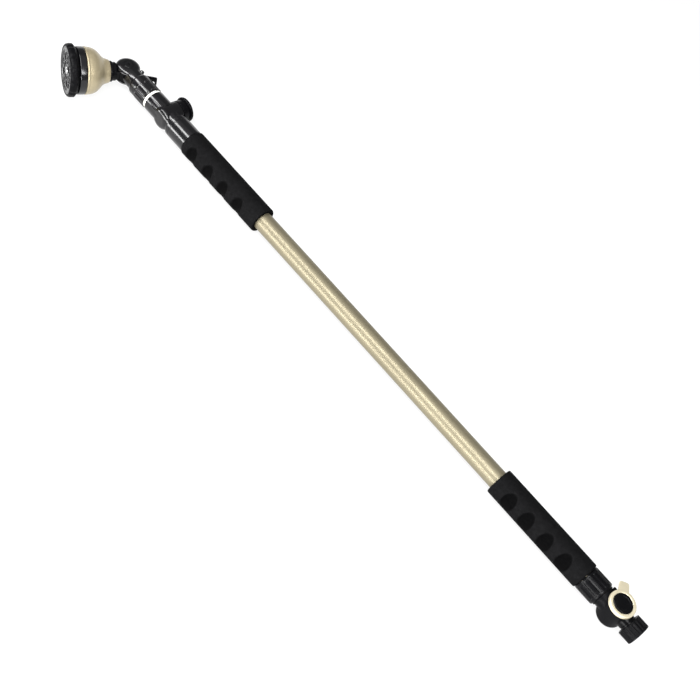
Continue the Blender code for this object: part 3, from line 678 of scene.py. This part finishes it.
def tubes():
    low, high = span("outer_tube")
    outline = ring(low, high, TUBE_R, 11.5)
    made = turned("outer_tube_fine", outline, soft=0.3, longest=20.0)
    piece(made, "wand_body", CHAMPAGNE, "champagne_aluminium", "outer_tube")
    low, high = span("inner_tube")
    outline = ring(low, high, INNER_TUBE_R, 10.0)
    made = turned("inner_tube_fine", outline, soft=0.3, longest=20.0)
    piece(made, "extension", CHAMPAGNE, "champagne_aluminium", "inner_tube")
    grip("lower_grip", 18.0, LOWER_SCOOPS, 16.0)
    grip("upper_grip", 18.2, UPPER_SCOOPS, 0.0)


def lock_nut():
    low, high = span("lock_nut")
    outer = 17.0
    outline = [(high, outer - 1.0), (high - 0.8, outer - 0.2), (high - 5.6, outer - 0.2)]
    outline += [(high - 6.0, outer - 0.8), (high - 6.8, outer - 0.8), (high - 7.2, outer)]
    outline += [(low + 1.2, outer), (low, outer - 0.8)]
    outline += [(low, 14.8), (838.7, 14.8), (838.7, 14.2), (846.9, 12.9), (846.9, 11.4), (high, 11.4)]
    made = turned("lock_nut_fine", outline, soft=0.4, steps=192, longest=1.5)
    piece(made, "lock_nut", GLOSS, "gloss_black_plastic", "lock_nut")


# ---------------------------------------------------------------- flow valve and swivel

KNOB_R = 16.6


def flow_valve():
    top = 16.0
    arc = [math.radians(a) for a in range(0, 91, 15)]
    dome = [(-8.0 - 7.0 * math.sin(a), 7.6 + 8.0 * math.cos(a)) for a in arc]
    barrel = [(top, 0), (top, 14.4), (top - 0.7, 15.1), *dome, (-15.0, 0)]
    body = turned("flow_body_fine", barrel, FLOW, along="z", soft=0.5, steps=96)
    outlet = [(45.5, 0), (45.5, 12.6), (29.9, 12.6), (29.9, 15.3), (5.0, 15.3), (5.0, 13.8)]
    outlet += [(-15.2, 13.8), (-15.2, 0)]
    join(body, turned("outlet", outlet, FLOW, soft=0.4, steps=96))
    cut(body, turned("socket", rod(-20, -8.9, 11.3), FLOW, soft=0, steps=96))
    cut(body, *valve_cutters(FLOW, top, -9.2))
    bevel(body, 0.4, 3)
    piece(body, "extension", GLOSS, "gloss_black_plastic", "flow_valve_body")


def flow_knob():
    outline = [(31.0, 9.7), (31.0, 14.8), (30.2, 16.2), (29.0, KNOB_R), (27.6, KNOB_R), (26.9, KNOB_R - 0.7)]
    outline += [(26.6, 13.6), (25.4, 14.2), (17.0, 15.0), (17.0, 3.3), (24.8, 3.3), (24.8, 1.7)]
    outline += [(27.0, 1.7), (27.0, 9.7)]
    shape = ribs(30, 0.4, KNOB_R, 26.9, 30.4, 1.0)
    made = turned("flow_knob_fine", outline, FLOW, along="z", soft=0.6, steps=220, longest=0.8, shape=shape)
    piece(made, "flow_knob", BLACK, "black_plastic", "flow_knob")
    cap = [(30.8, 0), (30.8, 6.2), (30.4, 6.8), (30.4, 9.4), (28.7, 9.4), (28.7, 0)]
    made = turned("flow_knob_cap_fine", cap, FLOW, along="z", soft=0.4)
    piece(made, "flow_knob", GLOSS, "gloss_black_plastic", "flow_knob_cap")


SWIVEL_R = 15.75


def swivel():
    low, high = span("swivel_washer")
    made = turned("swivel_washer_fine", ring(low, high, 14.3, 12.9), soft=0.4)
    piece(made, "extension", WHITE, "white_nylon", "swivel_washer")
    low, high = span("swivel_nut")
    outline = [(high, SWIVEL_R - 1.2), (high - 2.0, SWIVEL_R - 0.2), (high - 9.0, SWIVEL_R - 0.4)]
    outline += [(high - 9.5, SWIVEL_R - 1.0), (high - 11.0, SWIVEL_R - 1.0), (high - 11.5, SWIVEL_R)]
    outline += [(low + 1.0, SWIVEL_R), (low, SWIVEL_R - 0.6), (low, 12.9), (915.9, 12.9)]
    outline += [(915.9, 10.7), (high, 10.7)]
    shape = ribs(16, 0.8, SWIVEL_R, low + 1.4, high - 11.8, 1.5)
    made = turned("swivel_nut_fine", outline, soft=0.5, steps=192, longest=0.8, shape=shape)
    piece(made, "extension", GLOSS, "gloss_black_plastic", "swivel_nut")


# ---------------------------------------------------------------- pivot

HUB_R = 16.0
HUB_HALF = 13.0
KNUCKLE_HALF = 7.0
HUB_X = (HOSE_FACE.x - joint_place("head_pivot").x) / MM


def pivot_yoke():
    shank = [(HUB_X, 0), (HUB_X, 13.0), (931.1, 13.0), (931.1, 10.4), (915.6, 10.4), (915.6, 12.5)]
    shank += [(912.0, 12.5), (912.0, 0)]
    yoke = turned("pivot_yoke_fine", shank, soft=0.5, steps=96)
    inner = KNUCKLE_HALF + 0.3
    ear = [(HUB_HALF, 0), (HUB_HALF, 8.2), (12.5, 10.8), (11.4, 13.2), (9.9, 15.0), (8.4, HUB_R)]
    ear += [(inner, HUB_R), (inner, 0)]
    other_ear = [(-p, r) for p, r in reversed(ear)]
    join(yoke, turned("ear", ear, PIVOT, along="z", soft=0.9, steps=96))
    join(yoke, turned("ear", other_ear, PIVOT, along="z", soft=0.9, steps=96))
    for low, high in ((5.0, 8.5), (-8.5, -5.0)):
        lug = [(-3, 2.2), (-3, -1.4), (-1.4, -3), (1.4, -3), (3, -1.4), (3, 2.2)]
        join(yoke, flat("lug", lug, low, high, LEVER_PIN))
    cut(yoke, turned("slot", rod(0.06 - inner, inner - 0.06, 15.7), PIVOT, along="z", soft=0, steps=96))
    cut(yoke, turned("waterway", rod(900, 945, 5.0), soft=0, steps=48))
    half_hole = [(14, 0), (14, 6.3), (11.5, 6.3), (11.5, 3.3)]
    hole = half_hole + [(-p, r) for p, r in reversed(half_hole)]
    cut(yoke, turned("pin_hole", hole, PIVOT, along="z", soft=0, steps=64))
    room = [(-6.0, -8.8), (8.3, -8.8), (8.3, 3.2), (-6.0, 3.2)]
    cut(yoke, flat("room", room, -6.1, 6.1, LEVER_PIN))
    cut(yoke, turned("lever_pin_hole", rod(-10, 10, 1.5), LEVER_PIN, along="z", soft=0, steps=24))
    bevel(yoke, 0.35, 2)
    piece(yoke, "extension", GLOSS, "gloss_black_plastic", "pivot_yoke")

    bolt = [(13.1, 0), (13.1, 4.6), (12.7, 6.0), (11.8, 6.0), (11.8, 3.0), (-13.1, 3.0), (-13.1, 0)]
    made = turned("pivot_bolt_fine", bolt, PIVOT, along="z", soft=0.4, steps=64)
    drive = [(1.9 * math.cos(a), 1.9 * math.sin(a)) for a in (math.pi / 3 * i for i in range(6))]
    cut(made, flat("drive", drive, 11.0, 14.0, PIVOT))
    piece(made, "extension", GLOSS, "gloss_black_plastic", "pivot_bolt")
    nut = turned("pivot_nut_fine", ring(-13.0, -11.8, 6.0, 3.3), PIVOT, along="z", soft=0.4, steps=6 * 8)
    piece(nut, "extension", GLOSS, "gloss_black_plastic", "pivot_nut")
    pin = turned("lever_pin_fine", rod(-9.2, 9.2, 1.2), LEVER_PIN, along="z", soft=0.4, steps=32)
    piece(pin, "extension", STEEL, "steel", "lever_pin")


def release_lever():
    eye_r = 2.6
    turns = [math.radians(50 - 12 * i) for i in range(14)]
    eye = [(eye_r * math.cos(a), eye_r * math.sin(a)) for a in turns]
    strip = [(-3.2, -1.4), (-12.2, -12.5), (-13.0, -13.0), (-14.0, -12.7), (-19.8, -8.2), (-21.2, -9.8)]
    strip += [(-14.6, -15.8), (-13.2, -16.5), (-12.0, -16.0)]
    outline = [(-1.2, 2.3), *strip, (-1.2, -2.4), *reversed(eye)]
    made = flat("release_lever_fine", outline, -3.2, 3.2, LEVER_PIN)
    join(made, flat("nose", [(0.5, -1.2), (2.9, 1.3), (2.3, 2.2), (0.0, 1.6)], -2.5, 2.5, LEVER_PIN))
    cut(made, turned("eye", rod(-10, 10, 1.5), LEVER_PIN, along="z", soft=0, steps=32))
    bevel(made, 0.3, 3)
    piece(made, "release_lever", BLACK, "black_plastic", "release_lever")


# ---------------------------------------------------------------- head

BELL_START = 24.7
BELL_END = 57.9
FACE_END = 81.0
DIAL_R = 34.4
PORT_CIRCLE_R = 17.0


def knuckle():
    teeth = 36
    rim = []
    for i in range(teeth):
        for share, r in ((0.0, 15.2), (0.7, 14.2)):
            angle = 2 * math.pi * (i + share) / teeth
            rim.append((r * math.cos(angle), r * math.sin(angle)))
    made = flat("head_knuckle_fine", rim, -KNUCKLE_HALF, KNUCKLE_HALF, HEAD)
    half = KNUCKLE_HALF - 0.2
    block = flat("block", [(6, -8.6), (17.6, -8.6), (17.6, 8.6), (6, 8.6)], -half, half, HEAD)
    neck = [(37, 0), (37, 10.2), (24.4, 10.2), (24.4, 13.6), (21.6, 13.6), (21.2, 12.2), (16.6, 12.2)]
    neck.append((16.6, 0))
    join(made, block, turned("neck", neck, HEAD, soft=0.4, steps=96))
    cut(made, turned("pin_hole", rod(-9, 9, 3.3), HEAD, along="z", soft=0, steps=48))
    cut(made, turned("bore", rod(-13, 40, 4.5), HEAD, soft=0, steps=48))
    for side in (1, -1):
        low, high = sorted((side * 5.7, side * 8.0))
        cut(made, turned("groove", ring(low, high, 9.3, 7.1), HEAD, along="z", soft=0, steps=48))
    bevel(made, 0.3, 2)
    piece(made, "head", BLACK, "black_plastic", "head_knuckle")


def bell():
    outer = [(BELL_END, 31.0), (BELL_END - 2.4, 31.0), (BELL_END - 3.0, 30.5), (52.1, 30.4), (48.0, 29.6)]
    outer += [(44.8, 28.3), (41.8, 26.4), (37.7, 22.4), (34.5, 18.8), (31.6, 16.8), (27.3, 15.6)]
    inner = [(36.6, 10.5), (37.2, 16.5), (40.8, 21.8), (46.0, 26.0), (52.5, 27.3), (BELL_END, 27.3)]
    outline = [*outer, (BELL_START, 14.7), (BELL_START, 10.5), *inner]
    made = turned("bell_housing_fine", outline, HEAD, soft=1.2, steps=160, longest=1.5)
    piece(made, "head", GOLD, "gold_paint", "bell_housing")


def distributor():
    outline = [(67.4, 2.0), (67.4, 30.2), (66.8, 30.8), (59.4, 30.8), (59.0, 30.3), (58.2, 30.3)]
    outline += [(58.2, 26.2), (54.0, 26.2), (54.0, 24.4), (61.5, 24.4), (61.5, 6.5), (56.0, 6.5), (56.0, 2.0)]
    made = turned("distributor_fine", outline, HEAD, soft=0.4, steps=128)
    detent = HEAD @ Matrix.Translation((0, 0, 24.0))
    port = HEAD @ Matrix.Translation((0, PORT_CIRCLE_R, 0))
    cut(made, turned("pocket", rod(62.8, 70, 2.2), detent, soft=0, steps=32))
    stepped = [(70, 0), (70, 5.4), (66, 5.4), (66, 3.0), (60, 3.0), (60, 0)]
    cut(made, turned("port", stepped, port, soft=0, steps=32))
    piece(made, "head", GLOSS, "gloss_black_plastic", "distributor")


def bezel():
    scallops = 12
    outline = [(FACE_END, 30.6), (FACE_END, 32.0), (FACE_END - 1.6, 33.7), (FACE_END - 4.0, DIAL_R)]
    outline += [(72.6, DIAL_R), (71.7, 33.6), (67.7, 29.0), (67.7, 27.7), (70.2, 27.7), (70.2, 30.6)]

    def shape(p, angle, r):
        lobe = np.clip((np.cos(scallops * (angle - math.pi / scallops)) - 0.35) / 0.65, 0, 1) ** 0.8
        knurl = 0.12 * (0.5 - 0.5 * np.cos(144 * angle)) * (1 - lobe)
        outside = np.clip((r - 31.5) / 2.2, 0, 1)
        return r - (0.9 * lobe + knurl) * outside

    made = turned("dial_bezel_fine", outline, HEAD, soft=0.6, steps=432, longest=0.9, shape=shape)
    piece(made, "dial", BLACK_MATTE, "black_plastic", "dial_bezel")


def spot(radius, turn):
    """A frame on the spray face, at this radius and turn around the head's axis."""
    return HEAD @ Matrix.Translation((0, radius * math.cos(turn), radius * math.sin(turn)))


WELLS = 8
WELL_R = 4.7
WELL_FLOOR = 78.2
RIM_R = 5.9
MIST_HOLES = 6
MIST_HOLE_R = 0.7
MIST_CIRCLE_R = 2.7
INSERT_HOLE_R = 3.4
RAIN_HOLE_R = 0.65
RAIN_CIRCLES = ((40, 28.9, 0.0), (16, 24.6, 0.5))


def through_hole(place, radius, steps=12):
    """A cutter that goes right through the spray face."""
    return turned("hole", rod(74, 90, radius), place, soft=0, steps=steps)


def spray_face():
    """The face: rain holes in two circles, eight pattern wells with raised rims, and bars between them."""
    outer = 30.3
    outline = [(79.0, 2.3), (79.0, 6.0), (80.2, 6.8), (79.6, 8.6), (79.6, 26.2), (80.4, 27.0), (80.6, 27.6)]
    outline += [(80.6, outer), (76.7, outer), (76.7, 2.3)]
    face = turned("spray_face_fine", outline, HEAD, soft=0.3, steps=160)
    turns = [2 * math.pi * i / WELLS for i in range(WELLS)]
    rim = ring(79.0, 80.5, RIM_R, WELL_R - 0.1)
    rims = [turned("rim", rim, spot(PORT_CIRCLE_R, a), soft=0.4, steps=48) for a in turns]
    bar = [(8.1, -0.4), (26.5, -0.4), (26.5, 0.4), (8.1, 0.4)]
    bars = [flat("bar", bar, 78.9, 80.3, bar_frame(a + math.pi / WELLS)) for a in turns]
    well = rod(WELL_FLOOR, 90, WELL_R)
    wells = [turned("well", well, spot(PORT_CIRCLE_R, a), soft=0, steps=40) for a in turns]
    cut(face, merged("wells", wells))
    holes = [through_hole(spot(PORT_CIRCLE_R, a), INSERT_HOLE_R, steps=32) for a in turns[::2]]
    for a in turns[1::2]:
        middle = spot(PORT_CIRCLE_R, a)
        holes.append(through_hole(middle, MIST_HOLE_R))
        for i in range(MIST_HOLES):
            turn = 2 * math.pi * i / MIST_HOLES
            away = (0, MIST_CIRCLE_R * math.cos(turn), MIST_CIRCLE_R * math.sin(turn))
            holes.append(through_hole(middle @ Matrix.Translation(away), MIST_HOLE_R))
    for count, circle_r, start in RAIN_CIRCLES:
        for i in range(count):
            holes.append(through_hole(spot(circle_r, 2 * math.pi * (i + start) / count), RAIN_HOLE_R))
    cut(face, merged("holes", holes))
    face = merged("spray_face_fine", [face, *rims, *bars])
    piece(face, "dial", GLOSS, "black_plastic", "spray_face")

    for i in range(4):
        name = f"nozzle_insert_{i + 1}"
        hole = 1.0 + 0.3 * i
        outline = [(80.5, hole + 0.9), (80.5, 2.2), (79.6, 3.0), (76.7, 3.0), (76.7, hole), (78.6, hole)]
        made = turned(name + "_fine", outline, spot(PORT_CIRCLE_R, turns[2 * i]), soft=0.2, steps=40)
        piece(made, "dial", GLOSS, "gloss_black_plastic", name)
    screw = [(80.7, 0), (80.7, 3.6), (80.3, 4.8), (79.3, 5.4), (79.3, 1.7), (57.0, 1.7), (57.0, 0)]
    made = turned("centre_screw_fine", screw, HEAD, soft=0.3, steps=64)
    cross = [(0.5, 2.6), (-0.5, 2.6), (-0.5, 0.5), (-2.6, 0.5), (-2.6, -0.5), (-0.5, -0.5), (-0.5, -2.6)]
    cross += [(0.5, -2.6), (0.5, -0.5), (2.6, -0.5), (2.6, 0.5), (0.5, 0.5)]
    cut(made, flat("cross", cross, 79.6, 82.0, bar_frame(0.4)))
    piece(made, "head", STEEL, "steel", "centre_screw")


def bar_frame(turn):
    """A frame whose z is the head's axis, and whose x points out across the face."""
    across = Matrix.Rotation(turn, 4, "X")
    return HEAD @ across @ Matrix(((0, 0, 1, 0), (1, 0, 0, 0), (0, 1, 0, 0), (0, 0, 0, 1)))


# ---------------------------------------------------------------- the whole

camera()
floor()
light()
paint_nodes()
hose_coupling()
hose_tailpiece()
shut_off_valve()
shut_off_lever()
union_nut()
tubes()
lock_nut()
flow_valve()
flow_knob()
swivel()
pivot_yoke()
release_lever()
knuckle()
bell()
distributor()
bezel()
spray_face()
